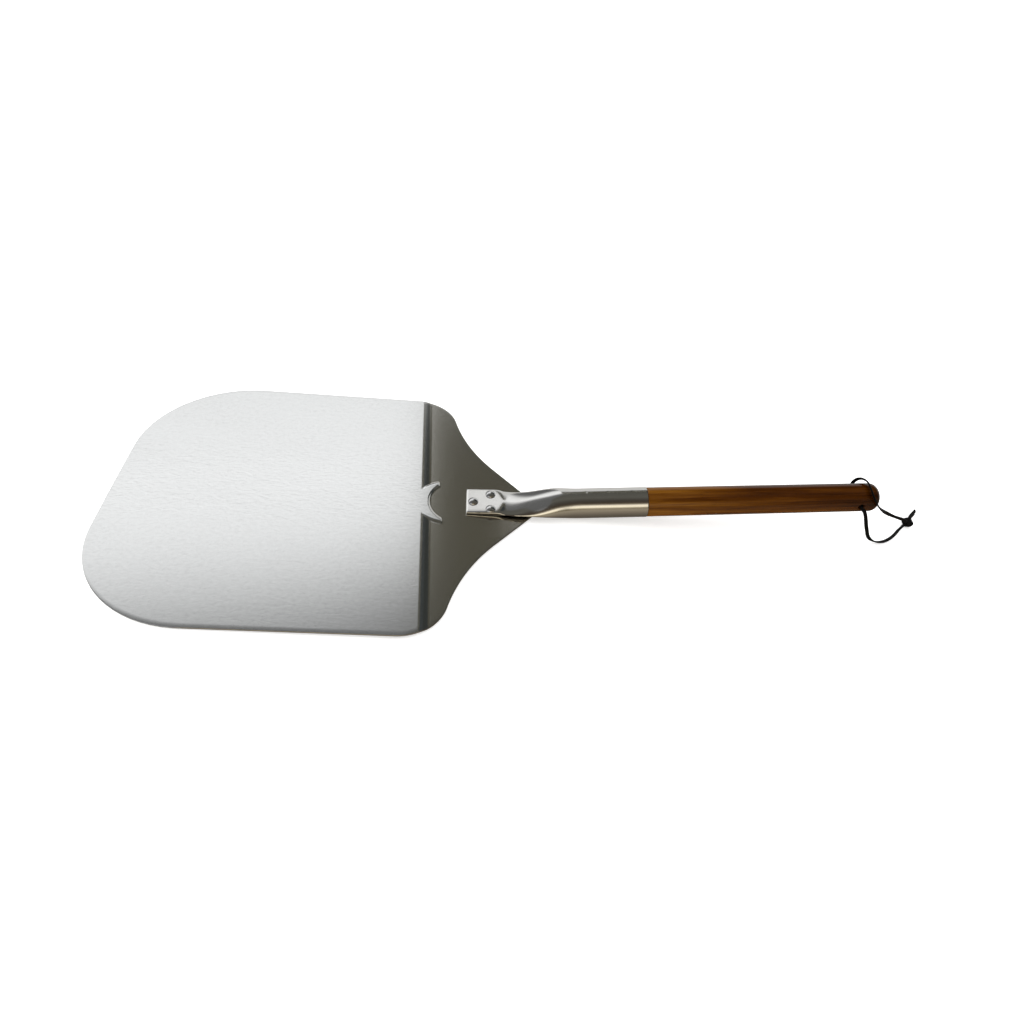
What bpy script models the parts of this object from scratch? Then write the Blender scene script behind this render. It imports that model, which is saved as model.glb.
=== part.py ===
"""Pizza peel: stamped aluminium blade, flattened socket tube, three rivets,
turned hardwood handle and a knotted hanging thong.

All lengths are in metres.  The metal and the wood are modelled in the peel's
own datum: X runs from the bend line towards the handle, Y across, Z up, and
Z = 0 is the blade's upper face.  The datum empty then leans the whole peel so
that it lies on a level surface at Z = 0, on its front edge and on the belly of
the tube, with the middle of its bounding box over the world origin.
"""
import math

import bmesh
import bpy
from mathutils import Matrix, Vector

# ---------------------------------------------------------------- dimensions
# blade
BLADE_WIDTH = 0.305
BLADE_REACH = 0.277          # bend line to front edge
FRONT_CORNER_R = 0.098
FRONT_BOW = 0.0025           # the front edge is bowed by this much
SHEET = 0.0015
SHOULDER_START = -0.0124     # where the straight side ends
SHOULDER_R = 0.0412
SHOULDER_TURN = math.radians(75.4)
SWEEP_R = 0.1677             # concave sweep into the neck
SWEEP_TURN = math.radians(47.3)
NECK_END = 0.1045
NECK_TIP_HALF = 0.0085

# root bend: a shallow step down into a neck that falls away very slightly
BEND_AT = 0.0028
BEND_SKEW = -0.045           # the bend line is not quite square to the axis
BEND_HALF = 0.0046
BEND_STEP = 0.0012
NECK_FALL = 0.0190           # slope of the neck

# crescent stiffener pressed over the bend
CRES_OUT_X, CRES_OUT_R = 0.0203, 0.0264
CRES_IN_X, CRES_IN_R = 0.0330, 0.0273
CRES_TIP_X = 0.0160
CRES_TURN = 0.085            # it sits a little askew
CRES_RISE = 0.0              # its top is level with the blade
CRES_FLANK = 0.0014

# socket tube
TUBE_R = 0.0142
WALL = 0.0014
TAB_START = 0.0407
TAB_HALF_W = 0.0158
TAB_SIDE = 0.0014            # the tab sits this far off the centre line
TAB_THICK = 0.0027           # two pressed walls at the front edge
TAB_WEDGE = 0.062            # and opening out like a wedge behind it
TAB_CURL = 0.62
TAB_END = 0.078
LINE_FROM = 0.118            # the tube's axis is straight from here on
AXIS_SLOPE = 0.1072
AXIS_DROP = -0.0092          # height of that axis over the bend line
NECK_CLEAR = 0.106           # the lower wall stays on the neck up to here
ROUND_FROM = 0.148           # fully round from here on
CROWN_FROM = 0.130           # the upper half is round already here
MOUTH_AT = 0.2098
GAP = 0.0003                 # working gap between touching pieces
DENTS_AT = (0.1524, 0.1733, 0.1956)
DENT_R = 0.0030
DENT_DEPTH = 0.0005

# rivets
RIVET_SPOTS = {"rivet_front": (0.0468, 0.0),
               "rivet_left": (0.0630, 0.0098),
               "rivet_right": (0.0630, -0.0098)}
RIVET_SHANK_R = 0.0024
RIVET_HEAD_R = 0.0047
RIVET_HEAD_H = 0.0023
RIVET_TAIL_R = 0.0040
RIVET_TAIL_H = 0.0014

# handle
HANDLE_LENGTH = 0.2200       # visible length beyond the tube
HANDLE_R_FRONT = 0.0139
HANDLE_R_END = 0.0134
HANDLE_END_R = 0.0085
TENON_LENGTH = 0.060
HOLE_FROM_END = 0.0187
HOLE_R = 0.0026

# thong
LACE_D = 0.0034
HOLE_X, HOLE_Z = 0.33357, 0.0462     # middle of the cross hole as the peel lies
KNOT_AT = (0.4136, 0.0135, 0.0052)

# how the peel lies
BELLY_X = 0.146
# the belly is still a little flat here: this far inside the full circle
BELLY_FLAT = 0.000187


# ------------------------------------------------------------------ geometry
def smooth(t):
    t = min(max(t, 0.0), 1.0)
    return t * t * (3.0 - 2.0 * t)


def hermite(t, p0, m0, p1, m1):
    return ((2 * t**3 - 3 * t**2 + 1) * p0 + (t**3 - 2 * t**2 + t) * m0
            + (3 * t**2 - 2 * t**3) * p1 + (t**3 - t**2) * m1)


def neck_z(x):
    """Upper face of the neck."""
    return -BEND_STEP - NECK_FALL * (x - BEND_AT)


def lune(x, y):
    """Signed distance to the crescent, negative inside."""
    c, s = math.cos(CRES_TURN), math.sin(CRES_TURN)
    x, y = (CRES_OUT_X + (x - CRES_OUT_X) * c + y * s,
            y * c - (x - CRES_OUT_X) * s)
    outer = math.hypot(x - CRES_OUT_X, y) - CRES_OUT_R
    inner = CRES_IN_R - math.hypot(x - CRES_IN_X, y)
    return max(outer, inner, x - CRES_TIP_X)


def sheet_z(x, y):
    """Upper face of the pressed sheet."""
    u = x - (BEND_AT + BEND_SKEW * y)
    s = smooth(u / (2 * BEND_HALF) + 0.5)
    z = s * neck_z(x)
    c = smooth(0.5 - lune(x, y) / CRES_FLANK)
    return z + c * (CRES_RISE - z)


def outline():
    """The blank's outline, from the front round to the neck and back."""
    half = BLADE_WIDTH / 2
    flat = half - FRONT_CORNER_R

    def front(y):
        return -BLADE_REACH + FRONT_BOW * (y / half) ** 2

    pts = [(front(flat * i / 6), flat * i / 6) for i in range(6)]
    for i in range(25):
        a = math.radians(90 * i / 24)
        y = flat + FRONT_CORNER_R * math.sin(a)
        pts.append((front(y) + FRONT_CORNER_R * (1 - math.cos(a)), y))
    x, y = SHOULDER_START, half
    for i in range(15):
        a = SHOULDER_TURN * i / 14
        pts.append((x + SHOULDER_R * math.sin(a),
                    y - SHOULDER_R * (1 - math.cos(a))))
    x, y = pts[-1]
    cx = x + SWEEP_R * math.sin(SHOULDER_TURN)
    cy = y + SWEEP_R * math.cos(SHOULDER_TURN)
    for i in range(1, 11):
        a = SHOULDER_TURN + (SWEEP_TURN - SHOULDER_TURN) * i / 10
        pts.append((cx - SWEEP_R * math.sin(a), cy - SWEEP_R * math.cos(a)))
    x, y = pts[-1]
    run = (y - NECK_TIP_HALF - 0.003) / math.tan(SWEEP_TURN)
    p0 = (x + run, NECK_TIP_HALF + 0.003)
    p1 = (NECK_END, p0[1] - (NECK_END - p0[0]) * math.tan(SWEEP_TURN))
    p2 = (NECK_END, 0.5 * p1[1])
    for i in range(6):
        t = i / 5
        pts.append(tuple((1 - t)**2 * p0[k] + 2 * t * (1 - t) * p1[k] + t * t * p2[k]
                         for k in (0, 1)))
    mirrored = [(x, -y) for x, y in reversed(pts) if y > 1e-9]
    return pts + mirrored


def tab_thick(x):
    """Thickness of the pressed end over the neck."""
    u = x - TAB_START
    return TAB_THICK + TAB_WEDGE * u + TAB_CURL * u * u


def tab_slope(x):
    return TAB_WEDGE + 2 * TAB_CURL * (x - TAB_START)


def axis_z(x):
    """Height of the tube's centre line."""
    if x <= TAB_END:
        return neck_z(x) + GAP + tab_thick(x) / 2
    if x >= LINE_FROM:
        return AXIS_SLOPE * x + AXIS_DROP
    d = LINE_FROM - TAB_END
    return hermite((x - TAB_END) / d, neck_z(TAB_END) + GAP + tab_thick(TAB_END) / 2,
                   (tab_slope(TAB_END) / 2 - NECK_FALL) * d,
                   AXIS_SLOPE * LINE_FROM + AXIS_DROP, AXIS_SLOPE * d)


def half_height(x):
    def resting(u):
        return axis_z(u) - (neck_z(u) + GAP)

    if x <= NECK_CLEAR:
        return resting(x)
    if x >= ROUND_FROM:
        return TUBE_R
    d = ROUND_FROM - NECK_CLEAR
    slope = (resting(NECK_CLEAR) - resting(NECK_CLEAR - 0.001)) / 0.001
    return hermite((x - NECK_CLEAR) / d, resting(NECK_CLEAR), slope * d, TUBE_R, 0)


def crown(x):
    """Height of the upper half over the centre line."""
    if x <= TAB_END:
        return half_height(x)
    if x >= CROWN_FROM:
        return TUBE_R
    d = CROWN_FROM - TAB_END
    return hermite((x - TAB_END) / d, half_height(TAB_END), tab_slope(TAB_END) / 2 * d,
                   TUBE_R, 0)


def half_width(x):
    b = (half_height(x) + crown(x)) / 2
    oval = math.sqrt(max(2 * TUBE_R**2 - b * b, 0))
    s = smooth((x - 0.082) / 0.055)
    return TAB_HALF_W + s * (oval - TAB_HALF_W)


def side_shift(x):
    return TAB_SIDE * (1 - smooth((x - 0.066) / 0.022))


def tube_ring(x, inset, count):
    """One cross-section of the tube, as points in the datum frame."""
    a, low, high = (half_width(x) - inset, half_height(x) - inset, crown(x) - inset)
    p = (8.0 - 6.4 * smooth((x - 0.0665) / 0.0105)
         + 0.4 * smooth((x - 0.098) / 0.028))
    lean = math.atan(AXIS_SLOPE) * smooth((x - 0.110) / 0.036)
    ring = []
    for i in range(count):
        t = 2 * math.pi * (i + 0.5) / count
        c, s = math.cos(t), math.sin(t)
        y = side_shift(x) + a * math.copysign(abs(c) ** (2 / p), c)
        v = (high if s > 0 else low) * math.copysign(abs(s) ** (2 / p), s)
        ring.append(Vector((x - v * math.sin(lean), y,
                            axis_z(x) + v * math.cos(lean))))
    return ring


# ------------------------------------------------------------- scene helpers
def clear_scene():
    for ob in list(bpy.data.objects):
        bpy.data.objects.remove(ob, do_unlink=True)


def material(name, colour, rough, metal):
    mat = bpy.data.materials.new(name)
    mat.use_nodes = True
    shader = mat.node_tree.nodes["Principled BSDF"]
    shader.inputs["Base Color"].default_value = (*colour, 1.0)
    shader.inputs["Roughness"].default_value = rough
    shader.inputs["Metallic"].default_value = metal
    return mat


def collect(name):
    col = bpy.data.collections.new(name)
    bpy.context.scene.collection.children.link(col)
    return col


def add_object(name, mesh, col, mat=None, parent=None):
    ob = bpy.data.objects.new(name, mesh)
    col.objects.link(ob)
    if mat:
        mesh.materials.append(mat)
    if parent:
        ob.parent = parent
    return ob


def mesh_from(bm, name, angle=30):
    bmesh.ops.recalc_face_normals(bm, faces=bm.faces)
    mesh = bpy.data.meshes.new(name)
    bm.to_mesh(mesh)
    bm.free()
    mesh.shade_smooth()
    mesh.set_sharp_from_angle(angle=math.radians(angle))
    return mesh


def as_cutter(ob):
    ob.hide_render = True
    ob.display_type = "WIRE"
    return ob


def boolean(ob, cutter, operation="DIFFERENCE"):
    mod = ob.modifiers.new(f"{operation.lower()}_{cutter.name}", "BOOLEAN")
    mod.operation = operation
    mod.solver = "EXACT"
    mod.object = cutter
    return mod


def evaluated_mesh(ob, weld=0.00001):
    graph = bpy.context.evaluated_depsgraph_get()
    mesh = bpy.data.meshes.new_from_object(ob.evaluated_get(graph))
    bm = bmesh.new()
    bm.from_mesh(mesh)
    bmesh.ops.remove_doubles(bm, verts=bm.verts, dist=weld)
    bmesh.ops.recalc_face_normals(bm, faces=bm.faces)
    bm.to_mesh(mesh)
    bm.free()
    return mesh


def cylinder(name, radius, length, col, segments=24):
    bm = bmesh.new()
    bmesh.ops.create_cone(bm, cap_ends=True, segments=segments, radius1=radius,
                          radius2=radius, depth=length)
    return add_object(name, mesh_from(bm, name), col)


def turned(name, profile, steps, col, mat, parent):
    """A profile in the XZ plane, top to bottom on its +X side, spun about Z."""
    mesh = bpy.data.meshes.new(name)
    mesh.from_pydata([(r, 0.0, z) for r, z in profile],
                     [(i, i + 1) for i in range(len(profile) - 1)], [])
    ob = add_object(name, mesh, col, mat, parent)
    screw = ob.modifiers.new("turn", "SCREW")
    screw.steps = steps
    screw.render_steps = steps
    screw.use_merge_vertices = True
    screw.merge_threshold = 0.00001
    screw.use_smooth_shade = True
    return ob


def lace(name, route, col, mat, diameter=LACE_D):
    """A round lace through evenly spaced points of a smooth curve."""
    curve = bpy.data.curves.new(name, "CURVE")
    curve.dimensions = "3D"
    curve.bevel_depth = diameter / 2
    curve.bevel_resolution = 2
    curve.use_fill_caps = True
    spline = curve.splines.new("POLY")
    pts = even_points(route, 2.2 * diameter)
    spline.points.add(len(pts) - 1)
    for point, co in zip(spline.points, pts):
        point.co = (*co, 1.0)
    curve.materials.append(mat)
    ob = bpy.data.objects.new(name, curve)
    col.objects.link(ob)
    return ob


def even_points(route, spacing):
    """Evenly spaced points on a centripetal Catmull-Rom curve."""
    p = [Vector(q) for q in route]
    p = [2 * p[0] - p[1]] + p + [2 * p[-1] - p[-2]]
    dense = []
    for i in range(1, len(p) - 2):
        knots = [0.0]
        for j in range(3):
            knots.append(knots[-1] + math.sqrt((p[i + j] - p[i + j - 1]).length))
        for k in range(24):
            t = knots[1] + (knots[2] - knots[1]) * k / 24
            a = [p[i - 1 + j] * ((knots[j + 1] - t) / (knots[j + 1] - knots[j]))
                 + p[i + j] * ((t - knots[j]) / (knots[j + 1] - knots[j]))
                 for j in range(3)]
            b = [a[j] * ((knots[j + 2] - t) / (knots[j + 2] - knots[j]))
                 + a[j + 1] * ((t - knots[j]) / (knots[j + 2] - knots[j]))
                 for j in range(2)]
            dense.append(b[0] * ((knots[2] - t) / (knots[2] - knots[1]))
                         + b[1] * ((t - knots[1]) / (knots[2] - knots[1])))
    dense.append(p[-2])
    run = [0.0]
    for q, r in zip(dense, dense[1:]):
        run.append(run[-1] + (r - q).length)
    count = max(2, round(run[-1] / spacing))
    out, j = [], 0
    for i in range(count + 1):
        s = run[-1] * i / count
        while j < len(run) - 2 and run[j + 1] < s:
            j += 1
        f = (s - run[j]) / (run[j + 1] - run[j])
        out.append(dense[j].lerp(dense[j + 1], min(max(f, 0), 1)))
    return out


# -------------------------------------------------------------------- pieces
def build_blade(col, cut, mat, datum):
    """The pressed sheet, trimmed to its outline and drilled for the rivets."""
    fine = 0.0022
    xs = [-0.30, -0.16, -0.05, -0.014, -0.0095]
    while xs[-1] < 0.0285:
        xs.append(xs[-1] + fine)
    xs += [0.05, 0.08, 0.12]
    ys = [0.0]
    while ys[-1] < 0.0275:
        ys.append(ys[-1] + 0.0025)
    ys += [0.08, 0.17]
    ys = [-y for y in reversed(ys[1:])] + ys
    bm = bmesh.new()
    bmesh.ops.create_grid(bm, x_segments=len(xs) - 1, y_segments=len(ys) - 1, size=0.5)
    bm.verts.ensure_lookup_table()
    for v in bm.verts:
        i = round((v.co.x + 0.5) * (len(xs) - 1))
        j = round((v.co.y + 0.5) * (len(ys) - 1))
        x, y = xs[i], ys[j]
        v.co = (x, y, sheet_z(x, y))
    for f in bm.faces:
        if f.normal.z < 0:
            f.normal_flip()
    bmesh.ops.triangulate(bm, faces=bm.faces)
    mesh = bpy.data.meshes.new("blade")
    bm.to_mesh(mesh)
    bm.free()
    mesh.shade_smooth()
    blade = add_object("blade", mesh, col, mat, datum)
    solid = blade.modifiers.new("sheet", "SOLIDIFY")
    solid.thickness = SHEET
    solid.offset = -1.0

    curve = bpy.data.curves.new("blank_outline", "CURVE")
    curve.dimensions = "2D"
    curve.fill_mode = "BOTH"
    curve.extrude = 0.02
    spline = curve.splines.new("POLY")
    pts = outline()
    spline.points.add(len(pts) - 1)
    for point, (x, y) in zip(spline.points, pts):
        point.co = (x, y, 0.0, 1.0)
    spline.use_cyclic_u = True
    source = bpy.data.objects.new("blank_outline_curve", curve)
    cut.objects.link(source)
    blank = as_cutter(add_object("blank_outline", evaluated_mesh(source), cut, None, datum))
    bpy.data.objects.remove(source)
    boolean(blade, blank, "INTERSECT")
    for name, (x, y) in RIVET_SPOTS.items():
        drill = as_cutter(cylinder(f"drill_{name}", RIVET_SHANK_R + GAP, 0.02, cut))
        drill.parent = datum
        drill.location = (x, y, neck_z(x))
        drill.rotation_euler = (0, math.atan(NECK_FALL), 0)
        boolean(blade, drill)
    return blade


def build_tube(col, cut, mat, datum):
    """A tube with its front end pressed flat, closed there and open behind."""
    count = 32
    outer_x = [TAB_START, 0.049, 0.058, 0.0665, 0.069, 0.0715, 0.074, 0.077, 0.080,
               0.084, 0.089, 0.094, 0.099, 0.104, 0.109, 0.114, 0.119, 0.124, 0.129, 0.134, 0.139, 0.1435,
               ROUND_FROM, 0.180, MOUTH_AT]
    inner_x = [MOUTH_AT, 0.180, ROUND_FROM, 0.1435, 0.139, 0.134, 0.129, 0.124,
               0.119, 0.114, 0.109, 0.104, 0.099, 0.095, 0.091]
    bm = bmesh.new()
    rings = [[bm.verts.new(p) for p in tube_ring(x, 0.0, count)] for x in outer_x]
    rings += [[bm.verts.new(p) for p in tube_ring(x, WALL, count)] for x in inner_x]
    bm.faces.new(list(reversed(rings[0])))
    for a, b in zip(rings, rings[1:]):
        for i in range(count):
            j = (i + 1) % count
            bm.faces.new((a[i], a[j], b[j], b[i]))
    bm.faces.new(rings[-1])
    tube = add_object("socket_tube", mesh_from(bm, "socket_tube"), col, mat, datum)
    for i, x in enumerate(DENTS_AT):
        bm = bmesh.new()
        bmesh.ops.create_uvsphere(bm, u_segments=16, v_segments=10, radius=DENT_R)
        punch = as_cutter(add_object(f"punch_{i + 1}", mesh_from(bm, "punch"), cut, None, datum))
        lean = math.atan(AXIS_SLOPE)
        up = TUBE_R + DENT_R - DENT_DEPTH
        punch.location = (x - up * math.sin(lean), 0.0, axis_z(x) + up * math.cos(lean))
        boolean(tube, punch)
    for name, (x, y) in RIVET_SPOTS.items():
        drill = bpy.data.objects[f"drill_{name}"]
        boolean(tube, drill)
    return tube


def build_rivet(name, spot, col, mat, datum):
    """Domed head over the tab, shank through both, low dome underneath."""
    x, y = spot
    grip_top = GAP + tab_thick(x) + GAP
    grip_bottom = -SHEET - GAP
    profile = []
    for i in range(7):
        a = math.radians(90 * i / 6)
        profile.append((RIVET_HEAD_R * math.sin(a),
                        grip_top + 0.0003 + RIVET_HEAD_H * math.cos(a)))
    profile.append((RIVET_HEAD_R, grip_top))
    profile.append((RIVET_SHANK_R, grip_top))
    profile.append((RIVET_SHANK_R, grip_bottom))
    for i in range(5):
        a = math.radians(90 * i / 4)
        profile.append((RIVET_TAIL_R * math.cos(a),
                        grip_bottom - RIVET_TAIL_H * math.sin(a)))
    profile[0] = (0.0, profile[0][1])
    profile[-1] = (0.0, profile[-1][1])
    rivet = turned(name, profile, 24, col, mat, datum)
    # the head is set down square on the sloping tab
    settled = evaluated_mesh(rivet)
    for v in settled.vertices:
        if v.co.z > grip_top - 0.0001:
            v.co.z += tab_slope(x) * v.co.x
    rivet.modifiers.clear()
    rivet.data = settled
    rivet.location = (x, y, neck_z(x))
    rivet.rotation_euler = (0, math.atan(NECK_FALL), 0)
    return rivet


def build_handle(col, cut, mat, datum):
    """Turned handle: domed end, slight taper, shoulder and a tenon."""
    lean = math.atan(AXIS_SLOPE)
    tenon_r = TUBE_R - WALL - GAP
    profile = []
    top = HANDLE_LENGTH
    flat = HANDLE_R_END - HANDLE_END_R
    profile.append((0.0, top))
    for i in range(8):
        a = math.radians(90 * i / 7)
        profile.append((flat + HANDLE_END_R * math.sin(a),
                        top - HANDLE_END_R * (1 - math.cos(a))))
    profile += [(HANDLE_R_FRONT, 0.0012), (HANDLE_R_FRONT - 0.0006, GAP),
                (tenon_r, GAP), (tenon_r, -TENON_LENGTH + 0.0015),
                (tenon_r - 0.0015, -TENON_LENGTH), (0.0, -TENON_LENGTH)]
    handle = turned("wooden_handle", profile, 32, col, mat, datum)
    handle.location = (MOUTH_AT, 0.0, axis_z(MOUTH_AT))
    handle.rotation_euler = (0, math.pi / 2 - lean, 0)
    drill = as_cutter(cylinder("drill_thong", HOLE_R, 0.05, cut, 20))
    drill.parent = datum
    reach = HANDLE_LENGTH - HOLE_FROM_END
    drill.location = (MOUTH_AT + reach * math.cos(lean), 0.0,
                      axis_z(MOUTH_AT) + reach * math.sin(lean))
    drill.rotation_euler = (math.pi / 2, 0, 0)
    boolean(handle, drill)
    return handle


def build_thong(col, mat):
    """One lace through the hole, both ends gathered in a knot on the table."""
    kx, ky, kz = KNOT_AT
    hx, hz = HOLE_X, HOLE_Z
    near = [(hx, -0.0002, hz), (hx, -0.008, hz),
            (hx, -0.0142, hz - 0.0001),
            (hx + 0.0021, -0.0184, 0.0442), (hx + 0.0054, -0.0196, 0.0385),
            (hx + 0.0106, -0.0190, 0.0294), (hx + 0.0170, -0.0174, 0.0194),
            (hx + 0.0236, -0.0156, 0.0100), (hx + 0.0300, -0.0146, 0.0044),
            (hx + 0.0370, -0.0146, 0.0022), (hx + 0.0448, -0.0130, 0.0019),
            (hx + 0.0530, -0.0086, 0.0019), (hx + 0.0606, -0.0028, 0.0021),
            (hx + 0.0672, 0.0034, 0.0027), (kx - 0.0068, ky - 0.0052, 0.0037)]
    far = [(hx, 0.0002, hz), (hx, 0.008, hz),
           (hx, 0.0144, hz + 0.0003),
           (hx + 0.0016, 0.0176, 0.0488), (hx + 0.0032, 0.0174, 0.0535),
           (hx + 0.0042, 0.0140, 0.0580), (hx + 0.0046, 0.0086, 0.0614),
           (hx + 0.0044, 0.0020, 0.0634), (hx + 0.0046, -0.0050, 0.0626),
           (hx + 0.0060, -0.0106, 0.0597), (hx + 0.0092, -0.0146, 0.0553),
           (hx + 0.0142, -0.0162, 0.0502), (hx + 0.0210, -0.0150, 0.0450),
           (hx + 0.0320, -0.0104, 0.0374), (hx + 0.0450, -0.0044, 0.0288),
           (hx + 0.0580, 0.0018, 0.0208), (hx + 0.0676, 0.0066, 0.0146),
           (kx - 0.0056, ky - 0.0040, 0.0094)]
    pieces = [lace("thong_near_strand", near, col, mat),
              lace("thong_far_strand", far, col, mat)]
    bm = bmesh.new()
    bmesh.ops.create_uvsphere(bm, u_segments=20, v_segments=12, radius=1.0)
    bmesh.ops.scale(bm, verts=bm.verts, vec=(0.0061, 0.0058, 0.0050))
    knot = add_object("thong_knot", mesh_from(bm, "thong_knot", 60), col, mat)
    knot.location = (kx, ky, kz)
    knot.rotation_euler = (0, 0, math.radians(40))
    pieces.append(knot)
    pieces.append(lace("thong_tail_upper",
                       [(kx + 0.0046, ky + 0.0058, 0.0066), (kx + 0.0084, ky + 0.0098, 0.0062),
                        (kx + 0.0124, ky + 0.0136, 0.0058), (kx + 0.0162, ky + 0.0172, 0.0054)],
                       col, mat))
    pieces.append(lace("thong_tail_lower",
                       [(kx + 0.0052, ky + 0.0064, 0.0026), (kx + 0.0086, ky + 0.0098, 0.0021),
                        (kx + 0.0122, ky + 0.0130, 0.0020), (kx + 0.0154, ky + 0.0158, 0.0020)],
                       col, mat))
    return pieces


def main():
    clear_scene()
    parts = collect("pizza_peel")
    cutters = collect("cutters")
    satin = material("satin_aluminium", (0.80, 0.80, 0.79), 0.35, 1.0)
    tube_metal = material("polished_aluminium_tube", (0.74, 0.73, 0.71), 0.18, 1.0)
    rivet_metal = material("aluminium_rivet", (0.70, 0.70, 0.70), 0.25, 1.0)
    wood = material("oiled_hardwood", (0.20, 0.075, 0.025), 0.45, 0.0)
    leather = material("black_lace", (0.012, 0.012, 0.013), 0.6, 0.0)

    belly_z = (axis_z(BELLY_X) + BELLY_FLAT
               - TUBE_R * math.sqrt(1 + AXIS_SLOPE**2))
    lean = math.atan((-SHEET - belly_z) / (BELLY_X + BLADE_REACH))
    tip = Vector((MOUTH_AT, 0, axis_z(MOUTH_AT))) + HANDLE_LENGTH * Vector(
        (math.cos(math.atan(AXIS_SLOPE)), 0, math.sin(math.atan(AXIS_SLOPE))))
    turn = Matrix.Rotation(-lean, 3, "Y")
    front = turn @ Vector((-BLADE_REACH, 0, -SHEET))
    rise = math.atan(AXIS_SLOPE) + lean
    back = (turn @ tip).x + (HANDLE_END_R * (1 - math.cos(rise))
                             + (HANDLE_R_END - HANDLE_END_R) * math.sin(rise))
    datum = bpy.data.objects.new("peel_datum", None)
    parts.objects.link(datum)
    datum.rotation_euler = (0, -lean, 0)
    datum.location = (-(front.x + back) / 2, 0.0, -front.z)

    build_blade(parts, cutters, satin, datum)
    build_tube(parts, cutters, tube_metal, datum)
    for name, spot in RIVET_SPOTS.items():
        build_rivet(name, spot, parts, rivet_metal, datum)
    build_handle(parts, cutters, wood, datum)
    build_thong(parts, leather)


main()
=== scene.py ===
"""Looks of the pizza peel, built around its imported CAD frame.  Metres, +Z up."""
import math

import bmesh
import bpy
import numpy as np
from mathutils import Matrix, Vector


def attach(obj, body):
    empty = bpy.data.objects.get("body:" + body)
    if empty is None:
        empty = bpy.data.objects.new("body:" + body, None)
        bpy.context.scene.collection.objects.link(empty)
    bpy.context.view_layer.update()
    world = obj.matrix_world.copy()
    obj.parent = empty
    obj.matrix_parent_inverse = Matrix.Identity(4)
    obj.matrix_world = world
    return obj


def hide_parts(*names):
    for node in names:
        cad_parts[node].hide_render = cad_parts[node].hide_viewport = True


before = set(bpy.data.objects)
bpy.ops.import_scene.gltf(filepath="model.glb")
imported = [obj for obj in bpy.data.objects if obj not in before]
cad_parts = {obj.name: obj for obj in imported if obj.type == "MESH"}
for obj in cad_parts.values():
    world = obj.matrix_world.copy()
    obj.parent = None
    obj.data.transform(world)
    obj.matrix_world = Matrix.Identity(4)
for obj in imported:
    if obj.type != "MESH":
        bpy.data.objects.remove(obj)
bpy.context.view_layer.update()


# ===================================================================== camera
def make_camera():
    cam = bpy.data.cameras.new("camera")
    cam.sensor_fit = "HORIZONTAL"
    cam.sensor_width = 36.0
    cam.lens = 705.0 / 1024.0 * 36.0
    cam.clip_start = 0.01
    cam.clip_end = 60.0
    ob = bpy.data.objects.new("camera", cam)
    bpy.context.scene.collection.objects.link(ob)
    right = Vector((0.99298072, -0.02545818, 0.11550399))
    up = Vector((-0.06318531, 0.71135279, 0.69998916))
    forward = Vector((0.09998454, 0.70237389, -0.70475103))
    place = Vector((-0.058343, -0.473167, 0.471727))
    ob.matrix_world = Matrix(((right.x, up.x, -forward.x, place.x),
                              (right.y, up.y, -forward.y, place.y),
                              (right.z, up.z, -forward.z, place.z),
                              (0, 0, 0, 1)))
    bpy.context.scene.camera = ob


make_camera()

# ================================================== dimensions, as in the CAD
BLADE_WIDTH, BLADE_REACH, FRONT_CORNER_R, FRONT_BOW = 0.305, 0.277, 0.098, 0.0025
SHEET = 0.0015
SHOULDER_START, SHOULDER_R, SHOULDER_TURN = -0.0124, 0.0412, math.radians(75.4)
SWEEP_R, SWEEP_TURN = 0.1677, math.radians(47.3)
NECK_END, NECK_TIP_HALF = 0.1045, 0.0085
BEND_AT, BEND_SKEW, BEND_HALF, BEND_STEP, NECK_FALL = 0.0028, -0.045, 0.0046, 0.0012, 0.0190
CRES_OUT_X, CRES_OUT_R = 0.0203, 0.0264
CRES_IN_X, CRES_IN_R = 0.0330, 0.0273
CRES_TIP_X, CRES_TURN, CRES_RISE, CRES_FLANK = 0.0160, 0.085, 0.0, 0.0014
TUBE_R, WALL = 0.0142, 0.0014
TAB_START, TAB_HALF_W, TAB_SIDE, TAB_END = 0.0407, 0.0158, 0.0014, 0.078
TAB_THICK, TAB_WEDGE, TAB_CURL = 0.0027, 0.062, 0.62
LINE_FROM, AXIS_SLOPE, AXIS_DROP = 0.118, 0.1072, -0.0092
NECK_CLEAR, ROUND_FROM, MOUTH_AT, GAP = 0.106, 0.148, 0.2098, 0.0003
CROWN_FROM = 0.130
DENTS_AT, DENT_R, DENT_DEPTH = (0.1524, 0.1733, 0.1956), 0.0030, 0.0005
RIVET_SPOTS = {"rivet_front": (0.0468, 0.0), "rivet_left": (0.0630, 0.0098),
               "rivet_right": (0.0630, -0.0098)}
RIVET_SHANK_R, RIVET_HEAD_R, RIVET_HEAD_H = 0.0024, 0.0047, 0.0023
RIVET_TAIL_R, RIVET_TAIL_H = 0.0040, 0.0014
HANDLE_LENGTH, HANDLE_R_FRONT, HANDLE_R_END, HANDLE_END_R = 0.2200, 0.0139, 0.0134, 0.0085
TENON_LENGTH, HOLE_FROM_END, HOLE_R = 0.060, 0.0187, 0.0026
LACE_W, LACE_T = 0.0035, 0.0015
HOLE_X, HOLE_Z = 0.33357, 0.0462
KNOT_AT = (0.4136, 0.0135, 0.0052)
BELLY_X = 0.146


# ------------------------------------------------------------ shape functions
def smooth(t):
    t = min(max(t, 0.0), 1.0)
    return t * t * (3.0 - 2.0 * t)


def hermite(t, p0, m0, p1, m1):
    return ((2 * t**3 - 3 * t**2 + 1) * p0 + (t**3 - 2 * t**2 + t) * m0
            + (3 * t**2 - 2 * t**3) * p1 + (t**3 - t**2) * m1)


def neck_z(x):
    return -BEND_STEP - NECK_FALL * (x - BEND_AT)


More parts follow.
